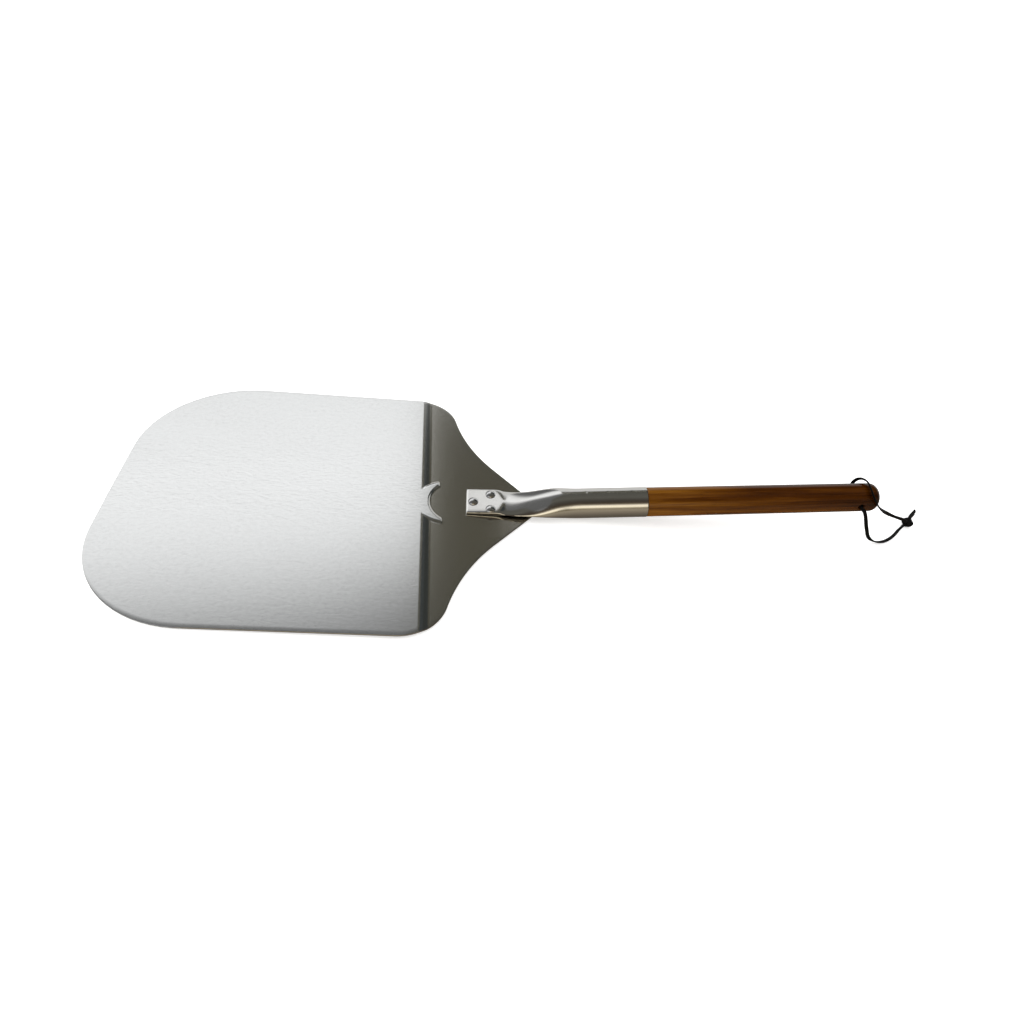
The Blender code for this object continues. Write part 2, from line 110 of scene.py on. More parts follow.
def lune(x, y):
    c, s = math.cos(CRES_TURN), math.sin(CRES_TURN)
    x, y = (CRES_OUT_X + (x - CRES_OUT_X) * c + y * s,
            y * c - (x - CRES_OUT_X) * s)
    outer = math.hypot(x - CRES_OUT_X, y) - CRES_OUT_R
    inner = CRES_IN_R - math.hypot(x - CRES_IN_X, y)
    return max(outer, inner, x - CRES_TIP_X)


def sheet_z(x, y):
    u = x - (BEND_AT + BEND_SKEW * y)
    s = smooth(u / (2 * BEND_HALF) + 0.5)
    z = s * neck_z(x)
    c = smooth(0.5 - lune(x, y) / CRES_FLANK)
    return z + c * (CRES_RISE - z)


def tab_thick(x):
    u = x - TAB_START
    return TAB_THICK + TAB_WEDGE * u + TAB_CURL * u * u


def tab_slope(x):
    return TAB_WEDGE + 2 * TAB_CURL * (x - TAB_START)


def axis_z(x):
    if x <= TAB_END:
        return neck_z(x) + GAP + tab_thick(x) / 2
    if x >= LINE_FROM:
        return AXIS_SLOPE * x + AXIS_DROP
    d = LINE_FROM - TAB_END
    return hermite((x - TAB_END) / d, neck_z(TAB_END) + GAP + tab_thick(TAB_END) / 2,
                   (tab_slope(TAB_END) / 2 - NECK_FALL) * d,
                   AXIS_SLOPE * LINE_FROM + AXIS_DROP, AXIS_SLOPE * d)


def half_height(x):
    def resting(u):
        return axis_z(u) - (neck_z(u) + GAP)

    if x <= NECK_CLEAR:
        return resting(x)
    if x >= ROUND_FROM:
        return TUBE_R
    d = ROUND_FROM - NECK_CLEAR
    slope = (resting(NECK_CLEAR) - resting(NECK_CLEAR - 0.001)) / 0.001
    return hermite((x - NECK_CLEAR) / d, resting(NECK_CLEAR), slope * d, TUBE_R, 0)


def crown(x):
    if x <= TAB_END:
        return half_height(x)
    if x >= CROWN_FROM:
        return TUBE_R
    d = CROWN_FROM - TAB_END
    return hermite((x - TAB_END) / d, half_height(TAB_END), tab_slope(TAB_END) / 2 * d,
                   TUBE_R, 0)


def half_width(x):
    b = (half_height(x) + crown(x)) / 2
    oval = math.sqrt(max(2 * TUBE_R**2 - b * b, 0))
    return TAB_HALF_W + smooth((x - 0.082) / 0.055) * (oval - TAB_HALF_W)


def side_shift(x):
    return TAB_SIDE * (1 - smooth((x - 0.066) / 0.022))


def tube_section(x, inset, count):
    """Evenly spaced points round one section, as (y, v) offsets."""
    a, low, high = half_width(x) - inset, half_height(x) - inset, crown(x) - inset
    p = (8.0 - 6.4 * smooth((x - 0.0665) / 0.0105)
         + 0.4 * smooth((x - 0.098) / 0.028))
    dense = []
    for i in range(720):
        t = 2 * math.pi * i / 720
        t += 0.5 * math.sin(4 * t) * 0.35 * max(p - 2, 0) / 6
        c, s = math.cos(t), math.sin(t)
        dense.append((a * math.copysign(abs(c) ** (2 / p), c),
                      (high if s > 0 else low) * math.copysign(abs(s) ** (2 / p), s)))
    dense = np.array(dense + dense[:1])
    run = np.concatenate([[0], np.cumsum(np.hypot(*np.diff(dense, axis=0).T))])
    at = run[-1] * np.arange(count) / count
    return np.stack([np.interp(at, run, dense[:, 0]), np.interp(at, run, dense[:, 1])], 1)


def ring_points(x, section):
    lean = math.atan(AXIS_SLOPE) * smooth((x - 0.110) / 0.036)
    z, side = axis_z(x), side_shift(x)
    return [Vector((x - v * math.sin(lean), side + y, z + v * math.cos(lean))) for y, v in section]


# the peel's datum as it lies: on its front edge and on the belly of the tube
BELLY_FLAT = 0.000187        # the belly is this far inside the full circle here
belly_z = axis_z(BELLY_X) + BELLY_FLAT - TUBE_R * math.sqrt(1 + AXIS_SLOPE**2)
LEAN = math.atan((-SHEET - belly_z) / (BELLY_X + BLADE_REACH))
_tip = Vector((MOUTH_AT, 0, axis_z(MOUTH_AT))) + HANDLE_LENGTH * Vector(
    (math.cos(math.atan(AXIS_SLOPE)), 0, math.sin(math.atan(AXIS_SLOPE))))
_turn = Matrix.Rotation(-LEAN, 3, "Y")
_front = _turn @ Vector((-BLADE_REACH, 0, -SHEET))
RISE = math.atan(AXIS_SLOPE) + LEAN
_back = (_turn @ _tip).x + (HANDLE_END_R * (1 - math.cos(RISE))
                            + (HANDLE_R_END - HANDLE_END_R) * math.sin(RISE))
DATUM = (Matrix.Translation((-(_front.x + _back) / 2, 0.0, -_front.z))
         @ Matrix.Rotation(-LEAN, 4, "Y"))


# ----------------------------------------------------------------- small tools
def add_piece(name, mesh, place=None):
    ob = bpy.data.objects.new(name, mesh)
    bpy.context.scene.collection.objects.link(ob)
    if place is not None:
        ob.matrix_world = place
    return ob


def mesh_from(bm, name, angle=35, recalc=True):
    if recalc:
        bmesh.ops.recalc_face_normals(bm, faces=bm.faces)
    mesh = bpy.data.meshes.new(name)
    bm.to_mesh(mesh)
    bm.free()
    mesh.shade_smooth()
    mesh.set_sharp_from_angle(angle=math.radians(angle))
    return mesh


def bridge(bm, a, b):
    n = len(a)
    for i in range(n):
        j = (i + 1) % n
        bm.faces.new((a[i], a[j], b[j], b[i]))


def lerp(a, b, t):
    return a + (b - a) * t


# ================================================================ thong, first
def dense_route(route):
    """A centripetal Catmull-Rom curve through the route, closely sampled."""
    p = [Vector(q) for q in route]
    p = [2 * p[0] - p[1]] + p + [2 * p[-1] - p[-2]]
    dense = []
    for i in range(1, len(p) - 2):
        knots = [0.0]
        for j in range(3):
            knots.append(knots[-1] + math.sqrt((p[i + j] - p[i + j - 1]).length))
        for k in range(24):
            t = knots[1] + (knots[2] - knots[1]) * k / 24
            a = [p[i - 1 + j] * ((knots[j + 1] - t) / (knots[j + 1] - knots[j]))
                 + p[i + j] * ((t - knots[j]) / (knots[j + 1] - knots[j]))
                 for j in range(3)]
            b = [a[j] * ((knots[j + 2] - t) / (knots[j + 2] - knots[j]))
                 + a[j + 1] * ((t - knots[j]) / (knots[j + 2] - knots[j]))
                 for j in range(2)]
            dense.append(b[0] * ((knots[2] - t) / (knots[2] - knots[1]))
                         + b[1] * ((t - knots[1]) / (knots[2] - knots[1])))
    dense.append(p[-2])
    return dense


def spaced(dense, spacing):
    run = [0.0]
    for q, r in zip(dense, dense[1:]):
        run.append(run[-1] + (r - q).length)
    count = max(2, round(run[-1] / spacing))
    out, j = [], 0
    for i in range(count + 1):
        s = run[-1] * i / count
        while j < len(run) - 2 and run[j + 1] < s:
            j += 1
        f = (s - run[j]) / (run[j + 1] - run[j])
        out.append(dense[j].lerp(dense[j + 1], min(max(f, 0), 1)))
    return out, run[-1]


def settle(bm):
    """Nothing of the thong goes through the table: it spreads on it instead."""
    for v in bm.verts:
        if v.co.z < 0.0010:
            v.co.z = 0.0002 + 0.0008 * math.exp((v.co.z - 0.0010) / 0.0008)


def flat_section(width, thick, n=20):
    """A flat lace's section: rounded edges, faces crowned a little."""
    pts = []
    for i in range(n):
        t = 2 * math.pi * (i + 0.5) / n
        c, s = math.cos(t), math.sin(t)
        pts.append((0.5 * width * math.copysign(abs(c) ** 0.62, c),
                    0.5 * thick * math.copysign(abs(s) ** 0.55, s)))
    return pts


def sweep(name, path, width, thick, up, twist, taper=None, closed_ends=True):
    """A flat lace along a path.  `up` starts the flat side's normal, which is then
    carried along without spin, plus twist(s) radians at arc length s."""
    bm = bmesh.new()
    section = flat_section(width, thick)
    normal = Vector(up)
    rings, run = [], 0.0
    for i, p in enumerate(path):
        q = path[min(i + 1, len(path) - 1)]
        o = path[max(i - 1, 0)]
        tangent = (q - o).normalized()
        normal = (normal - tangent * normal.dot(tangent)).normalized()
        if i:
            run += (p - path[i - 1]).length
        turn = Matrix.Rotation(twist(run), 3, tangent)
        n = turn @ normal
        b = tangent.cross(n)
        k = taper(run) if taper else 1.0
        rings.append([bm.verts.new(p + b * (w * k) + n * (t * k)) for w, t in section])
    for a, b in zip(rings, rings[1:]):
        bridge(bm, a, b)
    for ring, side in ((rings[0], -1), (rings[-1], 1)):
        centre = sum((v.co for v in ring), Vector()) / len(ring)
        t = (path[1] - path[0]).normalized() if side < 0 else (path[-1] - path[-2]).normalized()
        inner = [bm.verts.new(centre + (v.co - centre) * 0.82 + t * side * 0.00018) for v in ring]
        bridge(bm, ring, inner)
        bm.faces.new(inner)
    settle(bm)
    return mesh_from(bm, name, 50)


hx, hz = HOLE_X, HOLE_Z
kx, ky, kz = KNOT_AT
NEAR = [(hx, -0.0002, hz), (hx, -0.008, hz),
        (hx, -0.0142, hz - 0.0001),
        (hx + 0.0021, -0.0184, 0.0442), (hx + 0.0054, -0.0196, 0.0385),
        (hx + 0.0106, -0.0190, 0.0294), (hx + 0.0170, -0.0174, 0.0194),
        (hx + 0.0236, -0.0156, 0.0100), (hx + 0.0300, -0.0146, 0.0044),
        (hx + 0.0370, -0.0146, 0.0022), (hx + 0.0448, -0.0130, 0.0019),
        (hx + 0.0530, -0.0086, 0.0019), (hx + 0.0606, -0.0028, 0.0021),
        (hx + 0.0672, 0.0034, 0.0027), (kx - 0.0068, ky - 0.0052, 0.0037),
        (kx - 0.0038, ky - 0.0029, 0.0046)]
FAR = [(hx, 0.0002, hz), (hx, 0.008, hz),
       (hx, 0.0144, hz + 0.0003),
       (hx + 0.0016, 0.0176, 0.0488), (hx + 0.0032, 0.0174, 0.0535),
       (hx + 0.0042, 0.0140, 0.0580), (hx + 0.0046, 0.0086, 0.0614),
       (hx + 0.0044, 0.0020, 0.0634), (hx + 0.0046, -0.0050, 0.0626),
       (hx + 0.0060, -0.0106, 0.0597), (hx + 0.0092, -0.0146, 0.0553),
       (hx + 0.0142, -0.0162, 0.0502), (hx + 0.0210, -0.0150, 0.0450),
       (hx + 0.0320, -0.0104, 0.0374), (hx + 0.0450, -0.0044, 0.0288),
       (hx + 0.0580, 0.0018, 0.0208), (hx + 0.0676, 0.0066, 0.0146),
       (kx - 0.0056, ky - 0.0040, 0.0094),
       (kx - 0.0030, ky - 0.0022, 0.0070)]
near_path, near_len = spaced(dense_route(NEAR), 0.0009)
far_path, far_len = spaced(dense_route(FAR), 0.0009)


def in_hole(s):
    """The lace is folded narrower where it passes through the hole."""
    return lerp(0.80, 1.0, smooth((s - 0.0125) / 0.006))


near = add_piece("thong_near", sweep(
    "thong_near", near_path, LACE_W, LACE_T, (0, 0, 1),
    lambda s: 0.9 * smooth((s - 0.012) / 0.03) + 0.75 * smooth((s - 0.055) / 0.03)
    + 0.25 * math.sin(s * 95), in_hole))
far = add_piece("thong_far", sweep(
    "thong_far", far_path, LACE_W, LACE_T, (0, 0, 1),
    lambda s: 0.35 * math.sin(s * 70) + 1.3 * smooth((s - 0.062) / 0.045), in_hole))


def knot_mesh(name):
    """Both strands tied together in one overhand knot, drawn tight."""
    bm = bmesh.new()
    turn = Matrix.Rotation(math.radians(40), 3, "Z") @ Matrix.Rotation(math.radians(38), 3, "X")
    for strand in (-1, 1):
        grow = 1.0 + 0.10 * strand
        route = []
        for i in range(144):
            t = 2 * math.pi * i / 144
            route.append(turn @ Vector((
                0.00152 * grow * (math.sin(t) + 2 * math.sin(2 * t)),
                0.00142 * grow * (math.cos(t) - 2 * math.cos(2 * t)),
                -0.00225 * math.sin(3 * t) + 0.00105 * strand)) + Vector(KNOT_AT))
        section = flat_section(0.0030, 0.0014, 16)
        rings = []
        for i, p in enumerate(route):
            t = (route[(i + 1) % 144] - route[i - 1]).normalized()
            n = p - Vector(KNOT_AT)
            n = (n - t * n.dot(t)).normalized()
            b = t.cross(n)
            rings.append([bm.verts.new(p + b * w + n * h) for w, h in section])
        for i in range(144):
            bridge(bm, rings[i], rings[(i + 1) % 144])
    core = bmesh.ops.create_uvsphere(bm, u_segments=28, v_segments=16, radius=1.0)["verts"]
    for v in core:
        v.co = Vector((v.co.x * 0.0050, v.co.y * 0.0048, v.co.z * 0.0043)) + Vector(KNOT_AT)
    settle(bm)
    return mesh_from(bm, name, 50)


knot = add_piece("thong_knot_tied", knot_mesh("thong_knot_tied"))
UPPER = [(kx + 0.0012, ky + 0.0016, 0.0060), (kx + 0.0030, ky + 0.0036, 0.0064), (kx + 0.0046, ky + 0.0058, 0.0066),
         (kx + 0.0084, ky + 0.0098, 0.0062),
         (kx + 0.0124, ky + 0.0136, 0.0058), (kx + 0.0162, ky + 0.0172, 0.0054)]
LOWER = [(kx + 0.0014, ky + 0.0018, 0.0040), (kx + 0.0034, ky + 0.0042, 0.0030), (kx + 0.0052, ky + 0.0064, 0.0024),
         (kx + 0.0086, ky + 0.0098, 0.0019),
         (kx + 0.0122, ky + 0.0130, 0.0018), (kx + 0.0154, ky + 0.0158, 0.0018)]
tails = []
for name, route, spin in (("thong_end_upper", UPPER, 0.5), ("thong_end_lower", LOWER, -0.35)):
    pts, _ = spaced(dense_route(route), 0.0008)
    tails.append(add_piece(name, sweep(name, pts, LACE_W, LACE_T, (0, 0, 1),
                                       lambda s, k=spin: k + 30 * k * s)))


# ============================================================ blade, fine sheet
def outline_half():
    """Dense half outline in the datum frame, front to neck tip, y >= 0."""
    half = BLADE_WIDTH / 2
    flat = half - FRONT_CORNER_R
    pts = []
    for i in range(121):
        a = math.radians(90 * i / 120)
        y = flat + FRONT_CORNER_R * math.sin(a)
        pts.append((-BLADE_REACH + FRONT_BOW * (y / half) ** 2
                    + FRONT_CORNER_R * (1 - math.cos(a)), y))
    for i in range(1, 40):
        pts.append((lerp(pts[120][0], SHOULDER_START, i / 40), half))
    x, y = SHOULDER_START, half
    for i in range(61):
        a = SHOULDER_TURN * i / 60
        pts.append((x + SHOULDER_R * math.sin(a), y - SHOULDER_R * (1 - math.cos(a))))
    x, y = pts[-1]
    cx = x + SWEEP_R * math.sin(SHOULDER_TURN)
    cy = y + SWEEP_R * math.cos(SHOULDER_TURN)
    for i in range(1, 61):
        a = SHOULDER_TURN + (SWEEP_TURN - SHOULDER_TURN) * i / 60
        pts.append((cx - SWEEP_R * math.sin(a), cy - SWEEP_R * math.cos(a)))
    x, y = pts[-1]
    run = (y - NECK_TIP_HALF - 0.003) / math.tan(SWEEP_TURN)
    p0 = (x + run, NECK_TIP_HALF + 0.003)
    p1 = (NECK_END, p0[1] - (NECK_END - p0[0]) * math.tan(SWEEP_TURN))
    p2 = (NECK_END, 0.5 * p1[1])
    for i in range(1, 12):
        pts.append((lerp(x, p0[0], i / 12), lerp(y, p0[1], i / 12)))
    for i in range(25):
        t = i / 24
        pts.append(tuple((1 - t)**2 * p0[k] + 2 * t * (1 - t) * p1[k] + t * t * p2[k]
                         for k in (0, 1)))
    return np.array(pts)


EDGE = 0.00042          # the sheared edge is eased over this much


def blade_mesh():
    half = BLADE_WIDTH / 2
    line = outline_half()
    d = np.gradient(line, axis=0)
    n = np.stack([-d[:, 1], d[:, 0]], 1)
    n /= np.linalg.norm(n, axis=1)[:, None]
    inner = line - n * EDGE * np.where((n[:, 1] > -2)[:, None], 1, 1)
    keep = np.concatenate([[True], np.diff(np.maximum.accumulate(inner[:, 0])) > 1e-7])
    inner = inner[keep]

    def width(x):
        return float(np.interp(x, inner[:, 0], inner[:, 1]))

    flat = half - FRONT_CORNER_R
    # stations along the blade
    us = [0.0]
    us += [FRONT_CORNER_R * (1 - math.cos(math.radians(a))) for a in
           (3, 6, 9, 12, 15, 19, 23, 27, 31, 35, 39, 43, 48, 53, 58, 63, 68, 73, 78, 83, 88)]
    xs = [-BLADE_REACH + EDGE + u for u in us]
    x = -0.172
    while x < -0.024:
        xs.append(x)
        x += 0.0074
    x = -0.0235
    while x < 0.036:
        xs.append(x)
        x += 0.00062
    while x < 0.098:
        xs.append(x)
        x += 0.0016
    end = NECK_END - EDGE
    while x < end - 0.0002:
        xs.append(x)
        x += 0.0008
    xs.append(end - 0.00001)
    cols = 84
    s = np.linspace(-1, 1, 2 * cols + 1)

    bm = bmesh.new()
    grid = []
    for i, x0 in enumerate(xs):
        skew = BEND_SKEW * smooth((x0 + 0.05) / 0.03) * smooth((0.060 - x0) / 0.03)
        bow = FRONT_BOW * smooth((-0.10 - x0) / 0.12)
        if i == 0:
            ends = (flat, flat)
        else:
            ends = []
            for sign in (-1, 1):
                y = width(x0)
                for _ in range(12):
                    y = width(x0 + skew * sign * y + bow * (y / half) ** 2)
                ends.append(y)
        a = lerp(0.34, 0.9, smooth((0.05 - 0.5 * (ends[0] + ends[1])) / 0.04))
        row = []
        for t in s:
            w = ends[0] if t < 0 else ends[1]
            y = w * (a * t + (1 - a) * t ** 3)
            px = x0 + skew * y + bow * (y / half) ** 2
            row.append(bm.verts.new((px, y, sheet_z(px, y))))
        grid.append(row)
    for a, b in zip(grid, grid[1:]):
        for i in range(len(s) - 1):
            bm.faces.new((a[i], a[i + 1], b[i + 1], b[i]))
    under = [[bm.verts.new((v.co.x, v.co.y, v.co.z - SHEET)) for v in row] for row in grid]
    for a, b in zip(under, under[1:]):
        for i in range(len(s) - 1):
            bm.faces.new((a[i], b[i], b[i + 1], a[i + 1]))

    def rim(g):
        loop = list(g[0])
        loop += [row[-1] for row in g[1:]]
        loop += list(reversed(g[-1][:-1]))
        loop += [row[0] for row in reversed(g[1:-1])]
        return loop

    top, bottom = rim(grid), rim(under)
    count = len(top)
    flatpts = np.array([(v.co.x, v.co.y) for v in top])
    t1 = np.roll(flatpts, -1, 0) - flatpts
    t0 = flatpts - np.roll(flatpts, 1, 0)
    t1 /= np.linalg.norm(t1, axis=1)[:, None] + 1e-12
    t0 /= np.linalg.norm(t0, axis=1)[:, None] + 1e-12
    t = t0 + t1
    t /= np.linalg.norm(t, axis=1)[:, None] + 1e-12
    out = np.stack([t[:, 1], -t[:, 0]], 1)
    area = 0.5 * np.sum(flatpts[:, 0] * np.roll(flatpts[:, 1], -1)
                        - np.roll(flatpts[:, 0], -1) * flatpts[:, 1])
    if area < 0:
        out = -out
    rings = [top]
    steps = [(0.62, 0.08), (0.90, 0.30), (1.0, 0.62)]
    r = EDGE
    for k, h in steps:
        rings.append([bm.verts.new((v.co.x + o[0] * k * r, v.co.y + o[1] * k * r,
                                    v.co.z - h * r)) for v, o in zip(top, out)])
    for k, h in reversed(steps):
        rings.append([bm.verts.new((v.co.x + o[0] * k * r, v.co.y + o[1] * k * r,
                                    v.co.z - SHEET + h * r)) for v, o in zip(top, out)])
    rings.append(bottom)
    for a, b in zip(rings, rings[1:]):
        bridge(bm, a, b)
    return mesh_from(bm, "blade_sheet", 60)


blade = add_piece("blade_sheet", blade_mesh(), DATUM)


# ================================================================= socket tube
def tube_mesh():
    count = 168
    # (station, inset of the section, shift along X)
    soft = 0.0004
    rows = []
    for k in range(5):
        a = math.radians(90 * k / 4)
        rows.append((TAB_START + soft * (1 - math.sin(a)), soft * (1 - math.cos(a))))
    x = TAB_START + 0.0016
    out = [(TAB_START + soft * (1 - math.sin(math.radians(22.5 * k))),
            soft * (1 - math.sin(math.radians(90 - 22.5 * k)))) for k in (4, 3, 2, 1)]
    out = [(TAB_START, soft), (TAB_START + 0.00012, soft * 0.30), (TAB_START + 0.0004, 0.0)]
    while x < 0.064:
        out.append((x, 0.0))
        x += 0.0024
    while x < 0.150:
        out.append((x, 0.0))
        x += 0.0010
    while x < MOUTH_AT - 0.0006:
        out.append((x, 0.0))
        x += 0.00055
    out += [(MOUTH_AT - 0.00035, 0.0), (MOUTH_AT - 0.0001, 0.00006), (MOUTH_AT, 0.00022)]
    inner = [(MOUTH_AT, WALL - 0.0002), (MOUTH_AT - 0.0004, WALL), (0.180, WALL),
             (ROUND_FROM, WALL), (0.139, WALL), (0.129, WALL), (0.119, WALL),
             (0.109, WALL), (0.099, WALL), (0.091, WALL)]
    bm = bmesh.new()
    rings = []
    for x, inset in out + inner:
        rings.append([bm.verts.new(p) for p in
                      ring_points(x, tube_section(x, inset, count))])
    # the pressed end: the seam between the two walls shows as a fine slit
    first = rings[0]
    mid = axis_z(TAB_START)
    slit = []
    for depth, frac in ((0.0, 0.30), (0.0006, 0.14)):
        slit.append([bm.verts.new((TAB_START + depth,
                                   lerp(v.co.y, TAB_SIDE, (1 - frac) * 0.06),
                                   mid + (v.co.z - mid) * frac)) for v in first])
    bm.faces.new(list(reversed(slit[1])))
    bridge(bm, slit[1], slit[0])
    bridge(bm, slit[0], first)
    for a, b in zip(rings, rings[1:]):
        bridge(bm, a, b)
    bm.faces.new(rings[-1])
    # staking dents along the top
    lean = math.atan(AXIS_SLOPE)
    up = Vector((-math.sin(lean), 0, math.cos(lean)))
    fwd = Vector((math.cos(lean), 0, math.sin(lean)))
    for x in DENTS_AT:
        top = Vector((x, 0, axis_z(x))) + up * TUBE_R
        for ring in rings[:len(out)]:
            if abs(ring[0].co.x - x) > 0.008:
                continue
            for v in ring:
                r = v.co - top
                if r.dot(up) < -0.004:
                    continue
                a, b = r.dot(fwd), r.y
                q = math.hypot(a, b) / 0.0019
                if q < 1.6:
                    v.co -= up * (0.16 * DENT_DEPTH * math.exp(-(q * 1.5) ** 4) if q < 1.3 else 0.0)
    return mesh_from(bm, "socket_tube_drawn", 40)


tube = add_piece("socket_tube_drawn", tube_mesh(), DATUM)


# ====================================================================== rivets
def rivet_mesh(name, at):
    top = GAP + tab_thick(at) + 0.00002
    bottom = -SHEET - 0.00002
    profile = [(0.0, top + 0.0003 + RIVET_HEAD_H)]
    for i in range(1, 19):
        a = math.radians(90 * i / 18)
        profile.append((RIVET_HEAD_R * math.sin(a), top + 0.0003 + RIVET_HEAD_H * math.cos(a)))
    profile += [(RIVET_HEAD_R, top + 0.00012), (RIVET_HEAD_R - 0.00014, top),
                (RIVET_SHANK_R, top), (RIVET_SHANK_R, bottom),
                (RIVET_TAIL_R - 0.0001, bottom)]
    for i in range(0, 10):
        a = math.radians(90 * i / 9)
        # a formed tail is flattened on its end
        r = RIVET_TAIL_R * math.cos(a)
        z = bottom - RIVET_TAIL_H * (math.sin(a) ** 0.8)
        profile.append((r if i < 9 else 0.0, z))
    segs = 56
    bm = bmesh.new()
    rings = []
    for r, z in profile[1:-1]:
        rings.append([bm.verts.new((r * math.cos(2 * math.pi * k / segs),
                                    r * math.sin(2 * math.pi * k / segs), z))
                      for k in range(segs)])
    for a, b in zip(rings, rings[1:]):
        bridge(bm, a, b)
    cap = bm.verts.new((0, 0, profile[0][1]))
    foot = bm.verts.new((0, 0, profile[-1][1]))
    for k in range(segs):
        j = (k + 1) % segs
        bm.faces.new((cap, rings[0][k], rings[0][j]))
        bm.faces.new((foot, rings[-1][j], rings[-1][k]))
    for v in bm.verts:
        if v.co.z > top - 0.0001:
            v.co.z += tab_slope(at) * v.co.x
    return mesh_from(bm, name, 35)


rivets = {}
for name, (x, y) in RIVET_SPOTS.items():
    place = (DATUM @ Matrix.Translation((x, y, neck_z(x)))
             @ Matrix.Rotation(math.atan(NECK_FALL), 4, "Y"))
    rivets[name] = add_piece(name + "_domed", rivet_mesh(name + "_domed", x), place)


# ====================================================================== handle
def handle_mesh():
    """Turned in its own frame: Z runs along the handle, 0 at the tube's mouth."""
    tenon = TUBE_R - WALL - 0.0001
    top = HANDLE_LENGTH
    flat = HANDLE_R_END - HANDLE_END_R
    profile = [(0.0, top), (flat * 0.5, top - 0.00002)]
    for i in range(20):
        a = math.radians(90 * i / 19)
        profile.append((flat + HANDLE_END_R * math.sin(a),
                        top - HANDLE_END_R * (1 - math.cos(a))))
    z = top - HANDLE_END_R - 0.0009
    low = 0.0012
    while z > low + 0.0005:
        t = (z - low) / (top - HANDLE_END_R - low)
        profile.append((lerp(HANDLE_R_FRONT, HANDLE_R_END, t), z))
        z -= 0.0009 if z > top - 0.032 else 0.0030
    profile += [(HANDLE_R_FRONT, low), (HANDLE_R_FRONT - 0.00010, 0.0007),
                (HANDLE_R_FRONT - 0.0004, GAP + 0.00005), (HANDLE_R_FRONT - 0.0006, GAP),
                (tenon, GAP), (tenon, -TENON_LENGTH + 0.0015),
                (tenon - 0.0015, -TENON_LENGTH), (0.0, -TENON_LENGTH)]
    mesh = bpy.data.meshes.new("handle_turned")
    mesh.from_pydata([(r, 0.0, z) for r, z in profile],
                     [(i, i + 1) for i in range(len(profile) - 1)], [])
    ob = add_piece("handle_turned", mesh)
    screw = ob.modifiers.new("turn", "SCREW")
    screw.steps = screw.render_steps = 96
    screw.use_merge_vertices = True
    screw.merge_threshold = 0.00001
    # the cross hole, with its rims eased by the thong
    bm = bmesh.new()
    rings = []
    reach = HANDLE_LENGTH - HOLE_FROM_END
    for y, r in ((-0.020, HOLE_R + 0.0066), (-0.0133, HOLE_R + 0.0007), (-0.0126, HOLE_R + 0.0002),
                 (-0.0118, HOLE_R), (0.0118, HOLE_R), (0.0126, HOLE_R + 0.0002),
                 (0.0133, HOLE_R + 0.0007), (0.020, HOLE_R + 0.0066)):
        rings.append([bm.verts.new((r * math.cos(2 * math.pi * k / 40), y,
                                    reach + r * math.sin(2 * math.pi * k / 40)))
                      for k in range(40)])
    for a, b in zip(rings, rings[1:]):
        bridge(bm, a, b)
    bm.faces.new(rings[0])
    bm.faces.new(rings[-1])
    bmesh.ops.recalc_face_normals(bm, faces=bm.faces)
    cut = bpy.data.meshes.new("hole")
    bm.to_mesh(cut)
    bm.free()
    cutter = add_piece("hole", cut)
    mod = ob.modifiers.new("cross_hole", "BOOLEAN")
    mod.operation, mod.solver, mod.object = "DIFFERENCE", "EXACT", cutter
    graph = bpy.context.evaluated_depsgraph_get()
    final = bpy.data.meshes.new_from_object(ob.evaluated_get(graph))
    final.name = "handle_turned"
    bpy.data.objects.remove(ob)
    bpy.data.objects.remove(cutter)
    bm = bmesh.new()
    bm.from_mesh(final)
    bmesh.ops.remove_doubles(bm, verts=bm.verts, dist=0.00001)
    bmesh.ops.recalc_face_normals(bm, faces=bm.faces)
    bm.to_mesh(final)
    bm.free()
    final.shade_smooth()
    final.set_sharp_from_angle(angle=math.radians(32))
    return final


lean = math.atan(AXIS_SLOPE)
HANDLE = (DATUM @ Matrix.Translation((MOUTH_AT, 0, axis_z(MOUTH_AT)))
          @ Matrix.Rotation(math.pi / 2 - lean, 4, "Y"))
handle = add_piece("handle_turned", handle_mesh(), HANDLE)


